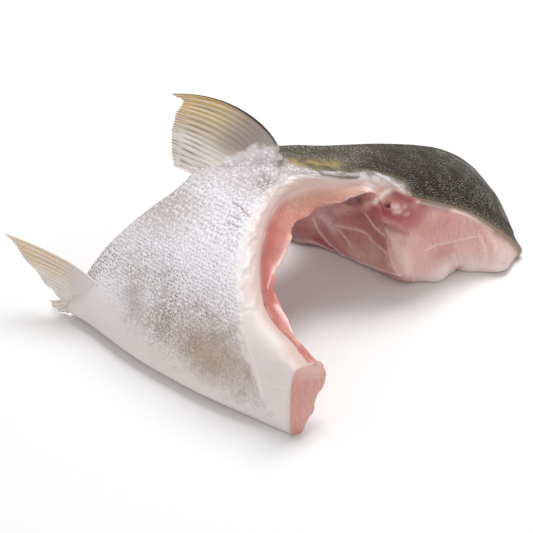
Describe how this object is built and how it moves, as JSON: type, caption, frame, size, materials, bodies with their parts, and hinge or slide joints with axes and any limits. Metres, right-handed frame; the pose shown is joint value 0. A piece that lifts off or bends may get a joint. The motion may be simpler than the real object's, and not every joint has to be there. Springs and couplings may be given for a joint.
{
  "type": "yellowtail collar",
  "caption": "Raw fish collar lying skin up: a silver flank with its fins, arched over an open gill hollow, joined to a thick dark-skinned back muscle.",
  "frame": {"origin": "under the middle of the part's box, on the plane that it lies on, which is the fish's middle plane where the knife opened it", "axes": "+X towards the fish's head, +Y from the belly line to the back, +Z out of the fish's side, which is up as it lies"},
  "size_m": [0.168, 0.22, 0.0927],
  "materials": {
    "skin": "satin",
    "flesh": "satin",
    "fin": "satin"
  },
  "bodies": {
    "root": {"collar": "skin"}
  },
  "joints": []
}
